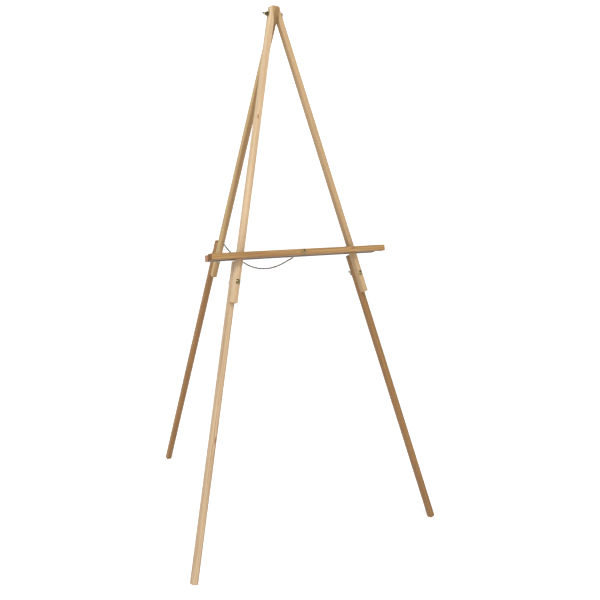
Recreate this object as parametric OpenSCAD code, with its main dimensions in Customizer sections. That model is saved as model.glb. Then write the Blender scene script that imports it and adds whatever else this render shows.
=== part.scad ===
// Folding wooden display easel: three two-part legs on one top bolt, a clamped ledge and a stay chain.
// Millimetres, +Z up, +X to the easel's left-right, +Y towards the rear leg. The feet stand on Z = 0.

/* [Stance] */
// Height of the top bolt above the floor
pivot_h = 1630; // [1500:10:1700]
// Backward lean of the front legs, in degrees
front_lean = 10; // [8:0.5:12]
// Outward splay of each front leg, in degrees
splay = 14.8; // [13:0.2:16]
// Backward slope of the rear leg, in degrees
rear_slope = 25.8; // [22:0.2:28]

/* [Sticks] */
// Width and depth of the square leg stock
stick = 19; // [18:0.5:20]
// Radius on the long edges of the stock
ease_r = 3; // [1.5:0.25:3.5]
// Radius that the sawn ends are rounded over to
end_r = 3; // [1:0.5:4]
// Radius that the feet are rounded over to
foot_r = 5; // [3:0.5:6]
// Length of front leg above the top bolt
top_reach = 22; // [16:1:26]
// Length of rear leg above the top bolt
rear_reach = 26; // [16:1:28]
// Front upper leg, from the top bolt down to its lower end
front_upper = 908; // [900:1:930]
// Overlap of the two front sticks
front_lap = 126; // [110:1:126]
// Rear upper leg, from the top bolt down to its lower end
rear_upper = 942; // [920:1:970]
// Overlap of the two rear sticks
rear_lap = 133; // [120:1:160]

/* [Ledge] */
// Distance from the top bolt down to the middle of the ledge
ledge_drop = 740; // [732:1:740]
// Length of the front rail
rail_len = 640; // [580:5:680]
// Depth of the front rail, front to back
rail_deep = 25; // [19:1:30]
// Height of both rails
rail_high = 19; // [18:0.5:20]
// Length of the back rail
back_len = 620; // [560:5:680]
// How much lower the back rail sits than the front one
back_sag = 1; // [0:0.5:1.5]

/* [Hardware] */
// Radius of every bolt
bolt_r = 3; // [2.5:0.25:3]
// Radius of the domed bolt heads
head_r = 8; // [7:0.5:8.5]
// Height of the domed bolt heads
head_h = 4; // [3:0.5:5]
// Radius of the washers
washer_r = 8; // [7.5:0.5:9]
// Thickness of the washers
washer_t = 1.6; // [1.2:0.2:2]
// Threaded end that stands out behind each leg's wing nut
bolt_tail = 5; // [3:1:12]

/* [Hidden] */

$fn = 48;
half = stick / 2;
run_fit = 0.08;                       // radial play of a turning stick on its bolt
side_gap = 0.2;                       // between a front leg and the rear leg's side
rock_x = half + side_gap;             // edge of the bevel that a front leg rocks on
rock_drop = 27;                       // that edge, below the top bolt
nut_h = 8;                            // length of a wing nut's hub
neck = 6.4;                           // square neck under a domed head
neck_h = 3.5;
leg_bolt_z = rock_drop - front_upper + front_lap / 2;
rear_bolt_z = rear_lap / 2 - rear_upper;
leg_top_z = rock_drop + top_reach;
leg_end_z = rock_drop - front_upper;
// middle of each foot's end, which lies on the floor
front_drop = (pivot_h - stick * sin(front_lean)) / cos(front_lean) - rock_drop + half * sin(splay);
front_foot_z = -front_drop / cos(splay);
rear_foot_z = -(pivot_h + stick * sin(rear_slope)) / cos(rear_slope);
top_face_x = rock_x + (stick - (rock_drop - washer_r) * sin(splay)) / cos(splay) + 0.15;
top_tail_x = top_face_x + washer_t + nut_h + 6;
eye_drop = 798;                       // rear leg's chain eye, below the top bolt
eye_out = 7;                          // middle of the eye, in front of the rear leg
ring_r = 7;                           // chain ring on the ledge bolt, to the middle of its wire
ring_wire = 1.1;
back_face = half + stick;
ring_t = 2 * ring_wire;
ledge_nut_y = back_face + ring_t + 0.2 + washer_t;

// The plan's centre lies midway between the front feet and the rear foot
foot_trim = 2.9;                      // the rear foot's rounding, seen from above
front_y = -pivot_h * tan(front_lean) + half / cos(front_lean);
rear_y = pivot_h * tan(rear_slope) + 3 * half / cos(rear_slope) - foot_trim;
pivot_y = -(front_y + rear_y) / 2;

// The chain's route, from the ledge bolt's ring back to the rear leg's eye: y and z
chain_d = 4;
chain_route = [
  [-370, 884], [-364.5, 882], [-356, 879], [-343, 874], [-323, 866], [-298, 857], [-268, 848], [-233, 840.5],
  [-198, 836.5], [-168, 835], [-138, 836], [-108, 839.5], [-78, 845.5], [-43, 854.5], [-13, 864.5], [12, 874.5],
  [32, 884], [47, 892.5], [58.2, 900.3]
];
chain_steps = 3;

wood_pale = [0.84, 0.73, 0.58];
wood_tan = [0.76, 0.60, 0.42];
zinc = [0.74, 0.72, 0.68];

// Frame of the sloping front plane, at the top bolt
module front_plane() {
  translate([0, pivot_y, pivot_h]) rotate([-front_lean, 0, 0]) children();
}

// Frame of a front leg: its inner face is x = 0, and z = 0 is the bevel's lower edge
module front_leg(side) {
  front_plane()
    mirror([side < 0 ? 1 : 0, 0, 0])
      translate([rock_x, 0, -rock_drop])
        rotate([0, -splay, 0])
          children();
}

// Frame of the rear leg, at the top bolt
module rear_leg() {
  translate([0, pivot_y, pivot_h]) rotate([rear_slope, 0, 0]) children();
}

// Square section with eased corners
module eased_square(w, t, r) {
  union() {
    square([w - 2 * r, t], center = true);
    square([w, t - 2 * r], center = true);
    for (x = [-1, 1], y = [-1, 1])
      translate([x * (w / 2 - r), y * (t / 2 - r)]) circle(r);
  }
}

// Side view of a stick, with its two ends rounded over
module side_view(z0, z1, low_r, high_r) {
  union() {
    translate([-half, z0 + low_r]) square([stick, z1 - high_r - z0 - low_r]);
    translate([low_r - half, z0]) square([stick - 2 * low_r, low_r + 1]);
    translate([high_r - half, z1 - high_r - 1]) square([stick - 2 * high_r, high_r + 1]);
    for (x = [-1, 1]) {
      translate([x * (half - low_r), z0 + low_r]) circle(low_r);
      translate([x * (half - high_r), z1 - high_r]) circle(high_r);
    }
  }
}

// Stick along z between two heights
module stick_between(z0, z1, low_r = end_r, high_r = end_r) {
  intersection() {
    translate([0, 0, z0]) linear_extrude(z1 - z0) eased_square(stick, stick, ease_r);
    rotate([90, 0, 0]) linear_extrude(2 * stick, center = true) side_view(z0, z1, low_r, high_r);
    rotate([90, 0, 90]) linear_extrude(2 * stick, center = true) side_view(z0, z1, low_r, high_r);
  }
}

// Round hole along y
module hole_y(x, z, r) {
  translate([x, -200, z]) rotate([-90, 0, 0]) cylinder(r = r, h = 400);
}

// Square pocket that a bolt's neck sits in, in the front face
module neck_pocket(x, z) {
  translate([x - neck / 2 - 0.05, -half - 1, z - neck / 2 - 0.05])
    cube([neck + 0.1, neck_h + 1.1, neck + 0.1]);
}

// Everything under the floor, which the feet are levelled to
module under_floor() {
  translate([-900, -1000, -300]) cube([1800, 2400, 300]);
}

// Slot that the top bolt needs as a front leg rocks from splayed to upright
module rocking_hole() {
  for (k = [0, 0.25, 0.5, 0.75, 1])
    rotate([0, splay * k, 0])
      translate([-30, 0, rock_drop])
        rotate([0, 90, 0]) cylinder(r = bolt_r + 0.3, h = 80);
}

module upper_front(side) {
  front_leg(side) difference() {
    translate([half, 0, 0]) stick_between(leg_end_z, leg_top_z);
    // bevel that lies flat against the rear leg
    rotate([0, splay, 0]) translate([-40, -20, 0]) cube([40, 40, 100]);
    rocking_hole();
    hole_y(half, leg_bolt_z, bolt_r + run_fit);
    neck_pocket(half, leg_bolt_z);
  }
}

module lower_front(side) {
  difference() {
    front_leg(side) difference() {
      translate([half, stick, 0]) stick_between(front_foot_z, leg_end_z + front_lap, foot_r);
      hole_y(half, leg_bolt_z, bolt_r + run_fit);
    }
    under_floor();
  }
}

// Domed bolt lying along +y from the face y = 0, with a square neck
module carriage_bolt(length) {
  union() {
    rotate([-90, 0, 0]) cylinder(r = bolt_r, h = length - 0.8);
    translate([0, length - 0.8, 0]) rotate([-90, 0, 0]) cylinder(r1 = bolt_r, r2 = bolt_r - 0.7, h = 0.8);
    translate([-neck / 2, 0, -neck / 2]) cube([neck, neck_h, neck]);
    domed_head();
  }
}

// Domed head in front of the face y = 0
module domed_head() {
  dome_r = (head_r * head_r + head_h * head_h) / (2 * head_h);
  rotate([90, 0, 0]) intersection() {
    translate([0, 0, head_h - dome_r]) sphere(r = dome_r, $fn = 96);
    cylinder(r = head_r - 0.05, h = head_h + 1);
  }
}

// Flat washer from the face y = 0
module washer() {
  rotate([-90, 0, 0]) difference() {
    cylinder(r = washer_r, h = washer_t);
    translate([0, 0, -1]) cylinder(r = bolt_r + 0.1, h = washer_t + 2);
  }
}

// Side outline of one wing, radius against length
module wing_outline() {
  difference() {
    union() {
      polygon([[3.6, 1.6], [6.2, 1.2], [14.8, 6.8], [8, 10], [4, 6.4]]);
      translate([11.2, 8.4]) circle(4);
    }
    translate([0, -4]) square([bolt_r + 0.4, 30]);
  }
}

// Wing nut from the face y = 0, wings along x
module wing_nut() {
  difference() {
    union() {
      rotate([-90, 0, 0]) cylinder(r1 = 6.4, r2 = 4.7, h = nut_h);
      for (m = [0, 1]) mirror([m, 0, 0])
        translate([0, 0, -1.1]) linear_extrude(2.2) wing_outline();
    }
    translate([0, -1, 0]) rotate([-90, 0, 0]) cylinder(r = bolt_r + 0.05, h = nut_h + 12);
  }
}

leg_stack = 2 * stick;                // both sticks of a leg
module leg_bolt_at() {
  translate([0, -half, 0]) carriage_bolt(leg_stack + washer_t + nut_h + bolt_tail);
}
module leg_washer_at() { translate([0, back_face, 0]) washer(); }
module leg_nut_at(turn) {
  translate([0, back_face + washer_t, 0]) rotate([0, turn, 0]) wing_nut();
}
module at_front_bolt(side) { front_leg(side) translate([half, 0, leg_bolt_z]) children(); }
module at_rear_bolt() { rear_leg() translate([0, 0, rear_bolt_z]) children(); }
module at_ledge() { front_plane() translate([0, 0, -ledge_drop]) children(); }

// Rail along x with eased edges and eased ends
module rail(length, deep, high) {
  intersection() {
    rotate([0, 90, 0]) translate([0, 0, -length / 2]) linear_extrude(length) eased_square(high, deep, 1.5);
    translate([0, 0, -high]) linear_extrude(2 * high) eased_square(length, deep, end_r);
  }
}

module upper_leg_left() { color(wood_pale) upper_front(-1); }
module upper_leg_right() { color(wood_pale) upper_front(1); }
module upper_leg_rear() {
  color(wood_tan) rear_leg() difference() {
    stick_between(-rear_upper, rear_reach);
    translate([-50, 0, 0]) rotate([0, 90, 0]) cylinder(r = bolt_r + run_fit, h = 100);
    hole_y(0, rear_bolt_z, bolt_r + run_fit);
    neck_pocket(0, rear_bolt_z);
    // pilot hole for the chain eye
    translate([0, -half - 1, -eye_drop]) rotate([-90, 0, 0]) cylinder(r = 1.05, h = 12);
  }
}
module lower_leg_left() { color(wood_pale) lower_front(-1); }
module lower_leg_right() { color(wood_tan) lower_front(1); }
module lower_leg_rear() {
  color(wood_tan) difference() {
    rear_leg() difference() {
      translate([0, stick, 0]) stick_between(rear_foot_z, rear_lap - rear_upper, foot_r);
      hole_y(0, rear_bolt_z, bolt_r + run_fit);
    }
    under_floor();
  }
}
module ledge_front_rail() {
  color(wood_tan) at_ledge() difference() {
    translate([0, -half - rail_deep / 2, 0]) rail(rail_len, rail_deep, rail_high);
    hole_y(0, 0, bolt_r + 0.1);
    translate([0, -rail_deep, 0]) neck_pocket(0, 0);
  }
}
module ledge_back_rail() {
  color(wood_tan) at_ledge() difference() {
    translate([0, stick, -back_sag]) rail(back_len, stick, rail_high);
    hole_y(0, 0, bolt_r + 0.1);
  }
}
module top_bolt() {
  color(zinc) front_plane() translate([top_face_x + washer_t, 0, 0]) rotate([0, 0, 90]) {
    rotate([-90, 0, 0]) cylinder(r = bolt_r, h = top_face_x + washer_t + top_tail_x);
    domed_head();
  }
}
module top_washer_right() {
  color(zinc) front_plane() translate([top_face_x, 0, 0]) rotate([0, 0, -90]) washer();
}
module top_washer_left() {
  color(zinc) front_plane() translate([-top_face_x, 0, 0]) rotate([0, 0, 90]) washer();
}
module top_wing_nut() {
  color(zinc) front_plane() translate([-top_face_x - washer_t, 0, 0])
    rotate([0, 0, 90]) rotate([0, -35, 0]) wing_nut();
}
module leg_bolt_left() { color(zinc) at_front_bolt(-1) leg_bolt_at(); }
module leg_bolt_right() { color(zinc) at_front_bolt(1) leg_bolt_at(); }
module leg_bolt_rear() { color(zinc) at_rear_bolt() leg_bolt_at(); }
module leg_washer_left() { color(zinc) at_front_bolt(-1) leg_washer_at(); }
module leg_washer_right() { color(zinc) at_front_bolt(1) leg_washer_at(); }
module leg_washer_rear() { color(zinc) at_rear_bolt() leg_washer_at(); }
module leg_wing_nut_left() { color(zinc) at_front_bolt(-1) leg_nut_at(90); }
module leg_wing_nut_right() { color(zinc) at_front_bolt(1) leg_nut_at(59); }
module leg_wing_nut_rear() { color(zinc) at_rear_bolt() leg_nut_at(90); }
module ledge_bolt() {
  color(zinc) at_ledge() translate([0, -half - rail_deep, 0])
    carriage_bolt(rail_deep + half + ledge_nut_y + nut_h + 6);
}
module ledge_washer() { color(zinc) at_ledge() translate([0, ledge_nut_y - washer_t, 0]) washer(); }
module ledge_wing_nut() { color(zinc) at_ledge() translate([0, ledge_nut_y, 0]) wing_nut(); }

// Ring that hangs on the ledge bolt between the back rail and its washer
module chain_ring() {
  color(zinc) at_ledge()
    translate([0, back_face + 0.1 + ring_wire, ring_wire + bolt_r - ring_r])
      rotate([90, 0, 0]) rotate_extrude() translate([ring_r, 0]) circle(ring_wire, $fn = 24);
}

// Screw eye in the front face of the rear leg
module chain_eye() {
  color(zinc) rear_leg() translate([0, -half, -eye_drop]) union() {
    translate([0, -1.5, 0]) rotate([-90, 0, 0]) cylinder(r = 1, h = 11);
    translate([0, -eye_out, 0]) rotate([0, 90, 0])
      rotate_extrude() translate([4.6, 0]) circle(1, $fn = 24);
  }
}

// Smooth curve through the route: one point at position t of the stretch that starts at point i
function route_at(i) = chain_route[max(0, min(len(chain_route) - 1, i))];
function smooth(i, t) =
  let (a = route_at(i - 1), b = route_at(i), c = route_at(i + 1), d = route_at(i + 2))
    0.5 * (2 * b + (c - a) * t + (2 * a - 5 * b + 4 * c - d) * t * t + (3 * b - a - 3 * c + d) * t * t * t);
chain_line = concat(
  [for (i = [0:len(chain_route) - 2], k = [0:chain_steps - 1]) smooth(i, k / chain_steps)],
  [chain_route[len(chain_route) - 1]]
);
rings = len(chain_line);
function heading(i) =
  let (d = chain_line[min(rings - 1, i + 1)] - chain_line[max(0, i - 1)]) d / norm(d);
function ring_point(i, k) =
  let (h = heading(i), a = 360 * k / 8, r = chain_d / 2)
    [r * cos(a), chain_line[i][0] - r * sin(a) * h[1], chain_line[i][1] + r * sin(a) * h[0]];

// Chain as a plain tube, eight sides
module chain() {
  color(zinc) polyhedron(
    points = [for (i = [0:rings - 1], k = [0:7]) ring_point(i, k)],
    faces = concat(
      [[for (k = [0:7]) k]],
      [for (i = [0:rings - 2], k = [0:7])
        [8 * i + k, 8 * (i + 1) + k, 8 * (i + 1) + (k + 1) % 8, 8 * i + (k + 1) % 8]],
      [[for (k = [7:-1:0]) 8 * (rings - 1) + k]]
    )
  );
}

upper_leg_left();
upper_leg_right();
upper_leg_rear();
lower_leg_left();
lower_leg_right();
lower_leg_rear();
ledge_front_rail();
ledge_back_rail();
top_bolt();
top_washer_right();
top_washer_left();
top_wing_nut();
leg_bolt_left();
leg_bolt_right();
leg_bolt_rear();
leg_washer_left();
leg_washer_right();
leg_washer_rear();
leg_wing_nut_left();
leg_wing_nut_right();
leg_wing_nut_rear();
ledge_bolt();
ledge_washer();
ledge_wing_nut();
chain_ring();
chain_eye();
chain();
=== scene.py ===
import bpy
import bmesh
import math
from mathutils import Matrix, Vector


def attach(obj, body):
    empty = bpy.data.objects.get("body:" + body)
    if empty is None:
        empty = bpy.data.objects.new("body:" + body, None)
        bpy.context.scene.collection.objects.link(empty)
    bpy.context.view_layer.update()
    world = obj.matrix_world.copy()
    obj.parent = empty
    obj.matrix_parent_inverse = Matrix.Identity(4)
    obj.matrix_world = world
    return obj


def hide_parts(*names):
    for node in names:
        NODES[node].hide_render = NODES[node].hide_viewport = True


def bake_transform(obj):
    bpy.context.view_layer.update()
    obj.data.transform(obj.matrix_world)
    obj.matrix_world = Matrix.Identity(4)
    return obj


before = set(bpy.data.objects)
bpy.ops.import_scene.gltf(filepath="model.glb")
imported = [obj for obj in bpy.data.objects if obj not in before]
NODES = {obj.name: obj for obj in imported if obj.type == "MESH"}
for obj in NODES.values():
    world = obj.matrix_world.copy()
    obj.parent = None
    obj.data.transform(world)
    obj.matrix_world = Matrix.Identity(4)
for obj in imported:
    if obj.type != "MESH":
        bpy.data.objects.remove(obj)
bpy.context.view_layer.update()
scene = bpy.context.scene

# ---- Camera -------------------------------------------------------------------------
# Stands at chest height in front of the easel and well to its left, looking slightly down.

eye = bpy.data.cameras.new("camera")
eye.sensor_width = 36
eye.lens = 52.86
eye.clip_end = 60
camera = bpy.data.objects.new("camera", eye)
camera.location = (-1.529, -2.6333, 1.1162)
camera.rotation_euler = (math.radians(90 - 7.6), 0, math.radians(-34.51))
scene.collection.objects.link(camera)
scene.camera = camera

# ---- Stay chain ---------------------------------------------------------------------
# Small oval steel links, bent from round wire and closed by a butt joint, zinc plated.
# It hangs slack from the ring on the ledge bolt to the screw eye in the rear leg.


class Value:
    """One output in a shader tree, so that shader sums read like sums."""

    def __init__(self, tree, socket):
        self.tree, self.socket = tree, socket

    def make(self, kind, settings=(), inputs=(), out=0):
        n = self.tree.nodes.new(kind)
        for key, value in dict(settings).items():
            setattr(n, key, value)
        for key, value in dict(inputs).items():
            if isinstance(value, Value):
                self.tree.links.new(value.socket, n.inputs[key])
            else:
                n.inputs[key].default_value = value
        return Value(self.tree, n.outputs[out])

    def maths(self, what, *others):
        return self.make("ShaderNodeMath", {"operation": what}, dict(enumerate((self,) + others)))

    def __add__(self, b): return self.maths("ADD", b)
    def __radd__(self, b): return self.maths("ADD", b)
    def __sub__(self, b): return self.maths("SUBTRACT", b)
    def __rsub__(self, b): return (self * -1.0).maths("ADD", b)
    def __mul__(self, b): return self.maths("MULTIPLY", b)
    def __rmul__(self, b): return self.maths("MULTIPLY", b)
    def __truediv__(self, b): return self.maths("DIVIDE", b)
    def size(self): return self.maths("ABSOLUTE")
    def root(self): return self.maths("SQRT")
    def fraction(self): return self.maths("FRACT")
    def most(self, b): return self.maths("MAXIMUM", b)

    def ease(self, low, high):
        """0 below low, 1 above high, smooth between."""
        return self.make("ShaderNodeMapRange", {"interpolation_type": "SMOOTHSTEP"},
                         {0: self, 1: low, 2: high, 3: 0.0, 4: 1.0})

    def dot(self, direction):
        return self.make("ShaderNodeVectorMath", {"operation": "DOT_PRODUCT"},
                         {0: self, 1: tuple(direction)}, out=1)

    def join(self, y, z):
        return self.make("ShaderNodeCombineXYZ", {}, {0: self, 1: y, 2: z})

    def noise(self, scale=1.0, detail=3.0, rough=0.5, seed=0.0):
        return self.make("ShaderNodeTexNoise", {"noise_dimensions": "4D"},
                         {"Vector": self, "W": seed, "Scale": scale, "Detail": detail, "Roughness": rough})

    def colour(self, a, b):
        """From colour a to colour b as this value goes from 0 to 1."""
        return self.make("ShaderNodeMix", {"data_type": "RGBA"}, {0: self, 6: a, 7: b}, out=2)

    def bump(self, strength, distance):
        return self.make("ShaderNodeBump", {}, {"Strength": strength, "Distance": distance, "Height": self})


def rgb(r, g, b):
    """A colour given as it looks on a screen, 0 to 255."""
    return tuple((c / 255 / 12.92 if c / 255 <= 0.04045 else ((c / 255 + 0.055) / 1.055) ** 2.4)
                 for c in (r, g, b)) + (1.0,)


def new_material(name):
    """A fresh material, its surface node, and the object coordinates to paint it with."""
    m = bpy.data.materials.new(name)
    m.use_nodes = True
    tree = m.node_tree
    surface = tree.nodes["Principled BSDF"]
    place = tree.nodes.new("ShaderNodeTexCoord")
    return m, surface, Value(tree, place.outputs["Object"]), Value(tree, place.outputs["Normal"])


def feed(surface, **values):
    for key, value in values.items():
        socket = surface.inputs[key.replace("_", " ")]
        if isinstance(value, Value):
            value.tree.links.new(value.socket, socket)
        else:
            socket.default_value = value


def plated(name, bright, dull, rough, pits, seed):
    """Zinc plated metal: cloudy passivation, fine pits, dull grey wear."""
    m, surface, p, _ = new_material(name)
    cloud = p.noise(90, 4, 0.6, seed)
    fine = p.noise(1400, 3, 0.6, seed + 3)
    worn = p.noise(320, 5, 0.7, seed + 7).ease(0.52, 0.66)
    colour = cloud.ease(0.35, 0.68).colour(bright, dull)
    colour = (worn * 0.55).colour(colour, rgb(126, 120, 110))
    colour = (fine.ease(0.62, 0.74) * 0.5).colour(colour, rgb(70, 64, 56))
    feed(surface, Base_Color=colour, Metallic=1.0,
         Roughness=cloud * 0.16 + worn * 0.14 + fine * 0.06 + rough,
         Normal=(cloud * 0.4 + fine * pits).bump(0.5, 0.00018))
    return m


def new_mesh(name, bm, material):
    """A finished object at the origin, normals outward."""
    bmesh.ops.recalc_face_normals(bm, faces=bm.faces)
    mesh = bpy.data.meshes.new(name)
    bm.to_mesh(mesh)
    bm.free()
    for f in mesh.polygons:
        f.use_smooth = True
    mesh.materials.append(material)
    o = bpy.data.objects.new(name, mesh)
    scene.collection.objects.link(o)
    return o


chain_route = [Vector((0, y / 1000, z / 1000)) for y, z in (
    (-370, 884), (-364.5, 882), (-356, 879), (-343, 874), (-323, 866), (-298, 857), (-268, 848),
    (-233, 840.5), (-198, 836.5), (-168, 835), (-138, 836), (-108, 839.5), (-78, 845.5), (-43, 854.5),
    (-13, 864.5), (12, 874.5), (32, 884), (47, 892.5), (58.2, 900.3))]


def smooth_line(points, steps):
    """Points along the smooth curve through a route."""
    line = []
    last = len(points) - 1
    for i in range(last):
        a, b = points[max(0, i - 1)], points[i]
        c, d = points[i + 1], points[min(last, i + 2)]
        for k in range(steps):
            t = k / steps
            line.append(0.5 * (2 * b + (c - a) * t + (2 * a - 5 * b + 4 * c - d) * t * t
                               + (3 * b - a - 3 * c + d) * t * t * t))
    return line + [points[last]]


def evenly(line, count):
    """Place and heading at count even steps along a line."""
    lengths = [(b - a).length for a, b in zip(line, line[1:])]
    total, at, out, i = sum(lengths), 0.0, [], 0
    for k in range(count):
        want = total * (k + 0.5) / count
        while i < len(lengths) - 1 and at + lengths[i] < want:
            at += lengths[i]
            i += 1
        t = (want - at) / lengths[i]
        out.append((line[i].lerp(line[i + 1], t), (line[i + 1] - line[i]).normalized()))
    return out, total


link_wire, link_long, link_wide = 0.0009, 0.0094, 0.0054     # wire radius, link length and width
link_bend_steps = 8


def add_link(bm, middle, heading, turn):
    """One oval link: straight sides and round ends, swept from round wire."""
    side = heading.cross(Vector((1, 0, 0))).normalized()
    across = Matrix.Rotation(turn, 3, heading) @ side
    normal = heading.cross(across)
    r = link_wide / 2 - link_wire
    straight = link_long / 2 - link_wide / 2
    path = []
    for end, start in ((1, -90), (-1, 90)):
        for k in range(link_bend_steps + 1):
            a = math.radians(start + 180 * k / link_bend_steps)
            path.append((end * straight + r * math.cos(a), r * math.sin(a)))
    rings = []
    for i, (u, v) in enumerate(path):
        ahead, behind = path[(i + 1) % len(path)], path[i - 1]
        along = (heading * (ahead[0] - behind[0]) + across * (ahead[1] - behind[1])).normalized()
        out = along.cross(normal)
        c = middle + heading * u + across * v
        rings.append([bm.verts.new(c + out * link_wire * math.cos(math.tau * k / 8)
                                   + normal * link_wire * math.sin(math.tau * k / 8)) for k in range(8)])
    for a, b in zip(rings, rings[1:] + rings[:1]):
        for k in range(8):
            bm.faces.new((a[k], a[(k + 1) % 8], b[(k + 1) % 8], b[k]))


chain_line = smooth_line(chain_route, 6)
chain_length = sum((b - a).length for a, b in zip(chain_line, chain_line[1:]))
link_pitch = link_long - 2.15 * link_wire * 2               # each link hooks a little loosely in the next
link_count = round(chain_length / link_pitch)
places, _ = evenly(chain_line, link_count)
bm = bmesh.new()
for i, (middle, heading) in enumerate(places):
    add_link(bm, middle, heading, math.radians(45 + 90 * (i % 2) + 6 * math.sin(i * 1.7)))
chain_metal = plated("chain_steel", rgb(118, 108, 90), rgb(80, 72, 58), 0.3, 0.3, 5.0)
chain = new_mesh("stay_chain", bm, chain_metal)
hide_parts("chain")
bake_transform(chain)

# ---- Floor and lights ---------------------------------------------------------------
# A plain pale studio floor that sweeps up into a wall all round, open at the top.
# Soft light from above, in front and a little to the left, so that the other sides are darker.

bm = bmesh.new()
floor_flat, floor_sweep, wall_high, floor_z, sweep_steps = 5.5, 2.5, 6.0, -0.0005, 12
profile = [(0.0, floor_z), (floor_flat, floor_z)]
for k in range(1, sweep_steps + 1):
    a = math.radians(90 * k / sweep_steps)
    profile.append((floor_flat + floor_sweep * math.sin(a),
                    floor_sweep - floor_sweep * math.cos(a) + floor_z))
profile.append((floor_flat + floor_sweep, wall_high))
verts = [bm.verts.new((r, 0, z)) for r, z in profile]
edges = [bm.edges.new(pair) for pair in zip(verts, verts[1:])]
bmesh.ops.spin(bm, geom=verts + edges, cent=(0, 0, 0), axis=(0, 0, 1), angle=math.tau, steps=96,
               use_merge=True)
bmesh.ops.remove_doubles(bm, verts=bm.verts, dist=1e-5)
studio, surface, p, _ = new_material("studio")
soft = p.noise(0.8, 2, 0.5, 1.0)
feed(surface, Base_Color=soft.colour(rgb(240, 240, 240), rgb(244, 244, 244)), Roughness=0.9,
     Emission_Color=(1.0, 1.0, 1.0, 1.0), Emission_Strength=0.5)
backdrop = new_mesh("studio_floor", bm, studio)
for f in backdrop.data.polygons:
    f.flip()

world = bpy.data.worlds.new("studio")
world.use_nodes = True
world.node_tree.nodes["Background"].inputs["Color"].default_value = (1.0, 1.0, 1.0, 1.0)
world.node_tree.nodes["Background"].inputs["Strength"].default_value = 0.1
scene.world = world
scene.view_settings.view_transform = "Standard"


def soft_light(name, place, target, size, power):
    lamp = bpy.data.lights.new(name, "AREA")
    lamp.shape = "DISK"
    lamp.size = size
    lamp.energy = power
    o = bpy.data.objects.new(name, lamp)
    o.location = place
    o.rotation_euler = (Vector(target) - Vector(place)).to_track_quat("-Z", "Y").to_euler()
    scene.collection.objects.link(o)


soft_light("key", (-1.4, -2.9, 4.2), (0, 0, 0.9), 1.1, 150)

# ---- Legs and rails: wood -----------------------------------------------------------
# Square softwood sticks planed on four sides, long edges eased, thin clear coat.
# Growth rings run the length of each stick and show as arcs on its sawn ends.

lean, splay, slope = math.radians(10), math.radians(14.8), math.radians(25.8)
stick_side, rail_deep = 0.019, 0.025
half_stick, half_rail = stick_side / 2, rail_deep / 2
rock_out, rock_drop = 0.0097, 0.027        # the bevel edge that a front leg rocks on, from the top bolt
ledge_drop, rear_bolt_drop = 0.74, 0.8755  # from the top bolt, down the front plane and down the rear leg
leg_bolt_drop = 0.818                      # from the rocking edge, down a front leg
top = Vector((0, -0.269481, 1.63))
back = Vector((0, math.cos(lean), -math.sin(lean)))
rise = Vector((0, math.sin(lean), math.cos(lean)))


def leg_frame(side):
    """Middle of a front leg's section at its bevel, its width and its run, in the front plane."""
    width = Vector((side * math.cos(splay), 0, 0)) + rise * math.sin(splay)
    run = Vector((-side * math.sin(splay), 0, 0)) + rise * math.cos(splay)
    return top + Vector((side * rock_out, 0, 0)) - rise * rock_drop + width * half_stick, width, run


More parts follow.
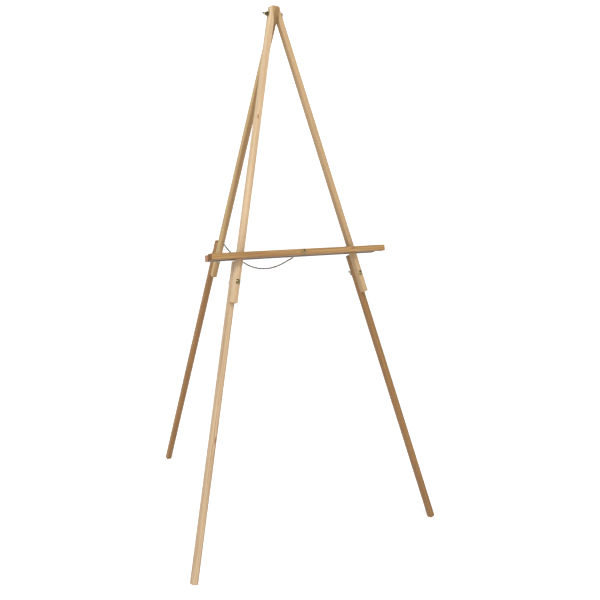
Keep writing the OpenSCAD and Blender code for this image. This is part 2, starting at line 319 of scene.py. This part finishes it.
def wood(name, middle, width, deep, run, half, pale, tan, dark, seed, pith, ring, knots, painted_shade_side, sawn=None):
    """Wood of one stick. middle is on its axis, half is half its width and half its depth, pith is the
    middle of its growth rings and ring their width. A knot is a place and a radius. The argument after
    the knots is a side of the section and how dark it is painted there: painted shade, for faces turned
    from the light or in shade under the ledge. sawn is the colour of the sawn ends, where it is not tan."""
    m, surface, p, facing = new_material(name)
    rel = p.make("ShaderNodeVectorMath", {"operation": "SUBTRACT"}, {0: p, 1: tuple(middle)})
    x, y, z = rel.dot(width), rel.dot(deep), rel.dot(run)
    # slow wander of the grain along the stick
    slow = (x * 9.0).join(y * 9.0, z * 1.6)
    wander = slow.noise(1.0, 3, 0.5, seed) - 0.5
    bend = wander * 0.012 + z * 0.006
    # grain that flows round each knot
    flow, core = None, None
    for kx, ky, kz, kr in knots:
        dx, dy, dz = x - kx, y - ky, (z - kz) * 0.38
        gap = (dx * dx + dy * dy + dz * dz).root()
        swell = (gap * (-1.0 / (kr * 1.7))).maths("EXPONENT") * (kr * 1.9)
        near = (kr - gap).ease(-kr * 0.25, kr * 0.3)
        flow = swell if flow is None else flow + swell
        core = near if core is None else core.most(near)
    px, py = x - pith[0], y - pith[1]
    radius = (px * px + py * py).root() + bend
    if flow is not None:
        radius = radius + flow
    wavy = (x * 60.0).join(y * 60.0, z * 5.0).noise(1.0, 2, 0.5, seed + 2) * 0.0012
    phase = ((radius + wavy) / ring).fraction()
    late = phase.ease(0.35, 0.86) * (1.0 - phase.ease(0.88, 0.99))
    # fibres, flecks and broad tone
    fibre = (x * 900.0).join(y * 900.0, z * 14.0).noise(1.0, 4, 0.6, seed + 4)
    streak = (x * 190.0).join(y * 190.0, z * 2.6).noise(1.0, 3, 0.55, seed + 5)
    fleck = (x * 1700.0).join(y * 1700.0, z * 130.0).noise(1.0, 2, 0.5, seed + 6).ease(0.63, 0.71)
    tone = (x * 22.0).join(y * 22.0, z * 3.2).noise(1.0, 3, 0.6, seed + 8)
    colour = (late * 0.55 + streak.ease(0.35, 0.75) * 0.35).colour(pale, tan)
    colour = (tone.ease(0.42, 0.78) * 0.55).colour(colour, tan)
    # Painted shade: one side of the section, wandering with the grain, is coloured darker where the stick
    # faces away from the light or lies in shade under the ledge.
    painted_shade = (x * (painted_shade_side[0] / half[0]) + y * (painted_shade_side[1] / half[1]) + wander * 1.2).ease(0.55, 1.0)
    colour = (painted_shade * painted_shade_side[2]).colour(colour, dark)
    colour = (fibre.ease(0.5, 0.8) * 0.3).colour(colour, dark)
    colour = (streak.ease(0.52, 0.7) * 0.34).colour(colour, dark)
    colour = (fleck * 0.35).colour(colour, dark)
    if core is not None:
        colour = (core * 0.8).colour(colour, rgb(122, 78, 44))
    # sawn ends: open grain
    end = facing.dot(run).size().ease(0.55, 0.85)
    pores = (x * 2600.0).join(y * 2600.0, z * 300.0).noise(1.0, 2, 0.6, seed + 9)
    end_colour = (late * 0.6 + pores.ease(0.45, 0.7) * 0.5).colour(sawn or tan, dark)
    colour = end.colour(colour, end_colour)
    # eased edges: rubbed darker and smoother by handling
    near_x = (x.size() - (half[0] - 0.0026)).ease(0.0, 0.0024)
    near_y = (y.size() - (half[1] - 0.0026)).ease(0.0, 0.0024)
    corner = near_x * near_y
    rubbed = corner * (tone * 0.6 + 0.35)
    colour = (rubbed * 0.45).colour(colour, dark)
    smudge = (x * 35.0).join(y * 35.0, z * 12.0).noise(1.0, 4, 0.65, seed + 11)
    colour = (smudge.ease(0.6, 0.8) * 0.12).colour(colour, rgb(132, 104, 78))
    height = late * 0.5 + fibre * 0.8 - fleck * 0.8 + pores * end * 1.5 + smudge * 0.2
    feed(surface, Base_Color=colour,
         Roughness=0.5 + fibre * 0.14 - late * 0.06 + end * 0.2 - rubbed * 0.1,
         Normal=height.bump(0.35, 0.00028), Coat_Weight=(1.0 - end) * 0.16)
    surface.inputs["Coat Roughness"].default_value = 0.38
    surface.inputs["Specular IOR Level"].default_value = 0.4
    return m


def paint(node, material):
    """Puts a material on every slot of a CAD piece."""
    for s in NODES[node].material_slots:
        s.material = material


left_at, left_wide, left_run = leg_frame(-1)
right_at, right_wide, right_run = leg_frame(1)
down = Vector((0, math.sin(slope), -math.cos(slope)))
rear_back = Vector((0, math.cos(slope), math.sin(slope)))
side = Vector((1, 0, 0))
stick = (half_stick, half_stick)
lower = back * stick_side

# In each stick below, the tuple of a side across, a side deep and an amount is painted shade: that side of
# the section is coloured darker where it faces away from the light or lies in shade under the ledge.
paint("upper_leg_left", wood("wood_upper_left", left_at, left_wide, back, left_run, stick,
      rgb(202, 178, 144), rgb(178, 148, 110), rgb(124, 90, 57), 1.0, (0.09, -0.03), 0.0042,
      [(0.004, -0.0095, -0.31, 0.0028)], (-0.4, -1, 0.3)))
paint("lower_leg_left", wood("wood_lower_left", left_at + lower, left_wide, back, left_run, stick,
      rgb(186, 161, 129), rgb(159, 128, 92), rgb(116, 86, 55), 4.0, (-0.05, 0.08), 0.0034,
      [(-0.003, -0.0095, -1.28, 0.003)], (-1, -0.2, 0.4)))
paint("upper_leg_right", wood("wood_upper_right", right_at, right_wide, back, right_run, stick,
      rgb(174, 147, 110), rgb(152, 118, 76), rgb(106, 73, 40), 7.0, (0.06, -0.06), 0.003,
      (), (-1, 0.2, 0.25)))
paint("lower_leg_right", wood("wood_lower_right", right_at + lower, right_wide, back, right_run, stick,
      rgb(140, 101, 52), rgb(112, 75, 32), rgb(84, 52, 22), 10.0, (0.03, 0.08), 0.0032,
      [(0.0095, 0.002, -1.12, 0.0032)], (-1, 0.2, 0.2)))
paint("upper_leg_rear", wood("wood_upper_rear", top, side, rear_back, down, stick,
      rgb(184, 157, 109), rgb(157, 124, 76), rgb(118, 84, 45), 13.0, (-0.04, -0.07), 0.0029,
      (), (0.2, -1, 0.75)))
paint("lower_leg_rear", wood("wood_lower_rear", top + rear_back * stick_side, side, rear_back, down, stick,
      rgb(150, 107, 52), rgb(124, 84, 34), rgb(92, 58, 24), 16.0, (0.08, 0.02), 0.0035,
      (), (0.2, -1, 0.4)))
ledge_at = top - rise * ledge_drop
front_rail_at = ledge_at - back * (half_stick + half_rail)
paint("ledge_front_rail", wood("wood_front_rail", front_rail_at, rise, back, side, (half_stick, half_rail),
      rgb(164, 129, 77), rgb(126, 86, 40), rgb(88, 53, 23), 19.0, (0.028, -0.06), 0.0046,
      [(0.003, -0.0125, 0.19, 0.0034)], (-1, 0, 0.6)))
back_rail_at = ledge_at + back * stick_side - rise * 0.001
# The back rail is coloured darker than the other sticks: partly darker wood, partly painted shade for the
# dark band it shows under the front rail.
paint("ledge_back_rail", wood("wood_back_rail", back_rail_at, rise, back, side, stick,
      rgb(112, 80, 32), rgb(82, 56, 18), rgb(60, 38, 10), 22.0, (0.05, 0.04), 0.003,
      (), (-1, -0.3, 0.7), rgb(190, 140, 104)))

# ---- Washers, chain ring and screw eye ----------------------------------------------
# Stamped steel washers and bent wire hardware, zinc plated with a faint yellow tint.

zinc = plated("zinc_plate", rgb(170, 158, 128), rgb(128, 116, 90), 0.24, 0.25, 31.0)
for name in ("top_washer_right", "top_washer_left", "leg_washer_left", "leg_washer_right",
             "leg_washer_rear", "ledge_washer", "chain_ring", "chain_eye"):
    paint(name, zinc)

# ---- Carriage bolts -----------------------------------------------------------------
# Steel bolts, 6 mm, with a low domed head, a square neck sunk in the wood and a rolled thread
# that ends in a small chamfer.


def lathe(bm, profile, steps=40):
    """Solid of revolution about +y from (radius, y) pairs that start and end on the axis."""
    verts = [bm.verts.new((r, y, 0)) for r, y in profile]
    edges = [bm.edges.new(pair) for pair in zip(verts, verts[1:])]
    bmesh.ops.spin(bm, geom=verts + edges, cent=(0, 0, 0), axis=(0, 1, 0), angle=math.tau,
                   steps=steps, use_merge=True)
    bmesh.ops.remove_doubles(bm, verts=bm.verts, dist=1e-7)


def add_thread(bm, radius, start, end, pitch=0.001, depth=0.0005, around=28):
    """Threaded rod along +y as one closed skin: the root and crest wind round it."""
    per = 5
    rows = int((end - start) / pitch * per)
    rings = []
    for i in range(rows + 1):
        y = start + (end - start) * i / rows
        ring = []
        for k in range(around):
            turn = k / around
            wave = abs(((y / pitch - turn) % 1.0) * 2 - 1)
            fade = min(1.0, (end - y) / (1.2 * pitch), (y - start) / pitch)
            r = radius - depth * (1 - wave) * max(0.0, fade)
            if end - y < 0.0008:
                r = min(r, radius - (0.0008 - (end - y)) * 0.9)
            a = math.tau * turn
            ring.append(bm.verts.new((r * math.cos(a), y, r * math.sin(a))))
        rings.append(ring)
    for a, b in zip(rings, rings[1:]):
        for k in range(around):
            bm.faces.new((a[k], a[(k + 1) % around], b[(k + 1) % around], b[k]))
    bm.faces.new(rings[0])
    bm.faces.new(rings[-1])


def bolt(name, place, length, thread_from, square_neck, body, nodes, material):
    """Bolt along the place's +y, its head in front of y = 0."""
    bm = bmesh.new()
    head_r, head_h, r = 0.0079, 0.00395, 0.003
    dome = (head_r ** 2 + head_h ** 2) / (2 * head_h)
    profile = [(0, -head_h)]
    for k in range(1, 12):
        a = math.asin(head_r / dome) * k / 12
        profile.append((dome * math.sin(a), dome - head_h - dome * math.cos(a)))
    profile += [(head_r - 0.0002, -0.0007), (head_r, -0.0004), (head_r - 0.0002, 0), (r, 0),
                (r, thread_from + 0.0004), (0, thread_from + 0.0004)]
    lathe(bm, profile)
    add_thread(bm, r, thread_from, length)
    if square_neck:
        made = bmesh.ops.create_cube(bm, size=1.0)["verts"]
        bmesh.ops.scale(bm, vec=(0.0064, 0.0035, 0.0064), verts=made)
        bmesh.ops.translate(bm, vec=(0, 0.00175, 0), verts=made)
    bmesh.ops.transform(bm, matrix=place, verts=bm.verts)
    o = new_mesh(name, bm, material)
    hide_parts(*nodes)
    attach(o, body)


def frame_at(origin, x, y, z):
    """Matrix whose axes are x, y, z at origin."""
    return Matrix(((x[0], y[0], z[0], origin[0]), (x[1], y[1], z[1], origin[1]),
                   (x[2], y[2], z[2], origin[2]), (0, 0, 0, 1)))


bolt_metal = plated("bolt_plate", rgb(150, 136, 100), rgb(96, 82, 54), 0.1, 0.1, 37.0)
washer_thick, washer_r, nut_high, bolt_tail = 0.0016, 0.008, 0.008, 0.006
leg_bolt_length = 0.0526
spots = {
    "left": (frame_at(left_at - left_run * leg_bolt_drop, left_wide, back, left_run), "left_upper_leg"),
    "right": (frame_at(right_at - right_run * leg_bolt_drop, right_wide, back, right_run), "right_upper_leg"),
    "rear": (frame_at(top + down * rear_bolt_drop, side, rear_back, -down), "rear_upper_leg"),
}
for name, (place, body) in spots.items():
    bolt("bolt_" + name, place @ Matrix.Translation((0, -half_stick, 0)), leg_bolt_length, 0.036, True, body,
         ["leg_bolt_" + name], bolt_metal)
ledge_place = frame_at(ledge_at, side, back, rise)
ring_thick, ring_gap = 0.0022, 0.0002
ledge_nut_y = half_stick + stick_side + ring_thick + ring_gap + washer_thick
ledge_front = half_stick + rail_deep
bolt("bolt_ledge", ledge_place @ Matrix.Translation((0, -ledge_front, 0)),
     ledge_front + ledge_nut_y + nut_high + bolt_tail, 0.058, True, "ledge_set", ["ledge_bolt"], bolt_metal)
leg_face = rock_out + (stick_side - (rock_drop - washer_r) * math.sin(splay)) / math.cos(splay) + 0.00015
top_tail = leg_face + washer_thick + nut_high + bolt_tail
top_place = frame_at(top + side * (leg_face + washer_thick), back, -side, rise)
bolt("bolt_top", top_place, leg_face + washer_thick + top_tail, 0.045, False,
     "top_bolt", ["top_bolt"], bolt_metal)

# ---- Wing nuts ----------------------------------------------------------------------
# Die-cast zinc: a tapered hub with two rounded ears, soft edges and a slightly pitted skin.


def wing_nut_mesh():
    """One wing nut from the face y = 0, ears along x, fused into one skin."""
    bm = bmesh.new()
    ear_thick = 0.0022
    lathe(bm, [(0, 0), (0.0061, 0), (0.0064, 0.0005), (0.0049, 0.0072), (0.0042, nut_high), (0, nut_high)])
    for way in (1, -1):
        outline = [(0.0030, 0.0012), (0.0060, 0.0010), (0.0098, 0.0030), (0.0130, 0.0050), (0.0148, 0.0070),
                   (0.0151, 0.0090), (0.0142, 0.0112), (0.0122, 0.0122), (0.0098, 0.0118), (0.0078, 0.0102),
                   (0.0060, 0.0086), (0.0046, 0.0074), (0.0030, 0.0070)]
        verts = [bm.verts.new((way * x, y, -ear_thick / 2)) for x, y in outline]
        flat = bm.faces.new(verts)
        grown = bmesh.ops.extrude_face_region(bm, geom=[flat])["geom"]
        far_side = [v for v in grown if isinstance(v, bmesh.types.BMVert)]
        bmesh.ops.translate(bm, vec=(0, 0, ear_thick), verts=far_side)
    bmesh.ops.recalc_face_normals(bm, faces=bm.faces)
    mesh = bpy.data.meshes.new("wing_nut_rough")
    bm.to_mesh(mesh)
    bm.free()
    rough = bpy.data.objects.new("wing_nut_rough", mesh)
    scene.collection.objects.link(rough)
    fuse = rough.modifiers.new("fuse", "REMESH")
    fuse.mode = "VOXEL"
    fuse.voxel_size = 0.00032
    soften = rough.modifiers.new("soften", "SMOOTH")
    soften.factor = 0.6
    soften.iterations = 5
    done = bpy.data.meshes.new_from_object(rough.evaluated_get(bpy.context.evaluated_depsgraph_get()))
    bpy.data.objects.remove(rough)
    return done


def wing_nut(name, shape, place, body, node, material):
    mesh = shape.copy()
    mesh.name = name
    mesh.transform(place)
    if place.determinant() < 0:
        mesh.flip_normals()
    for f in mesh.polygons:
        f.use_smooth = True
    mesh.materials.clear()
    mesh.materials.append(material)
    o = bpy.data.objects.new(name, mesh)
    scene.collection.objects.link(o)
    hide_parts(node)
    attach(o, body)


cast = plated("cast_zinc", rgb(134, 120, 86), rgb(92, 80, 54), 0.16, 0.6, 43.0)
nut_shape = wing_nut_mesh()
leg_nut_y = half_stick + stick_side + washer_thick + 0.0001     # the washer's face, and 0.1 mm of play
leg_nut = Matrix.Translation((0, leg_nut_y, 0))
for name, turn in (("left", 90), ("right", 59), ("rear", 90)):
    place, _ = spots[name]
    way = -turn if name == "left" else turn
    wing_nut("wing_nut_" + name, nut_shape, place @ leg_nut @ Matrix.Rotation(math.radians(way), 4, "Y"),
             name + "_wing_nut", "leg_wing_nut_" + name, cast)
wing_nut("wing_nut_ledge", nut_shape, ledge_place @ Matrix.Translation((0, ledge_nut_y, 0)),
         "ledge_wing_nut", "ledge_wing_nut", cast)
top_nut_place = frame_at(top - side * (leg_face + washer_thick), back, -side, rise)
wing_nut("wing_nut_top", nut_shape, top_nut_place @ Matrix.Rotation(math.radians(-35), 4, "Y"),
         "top_wing_nut", "top_wing_nut", cast)
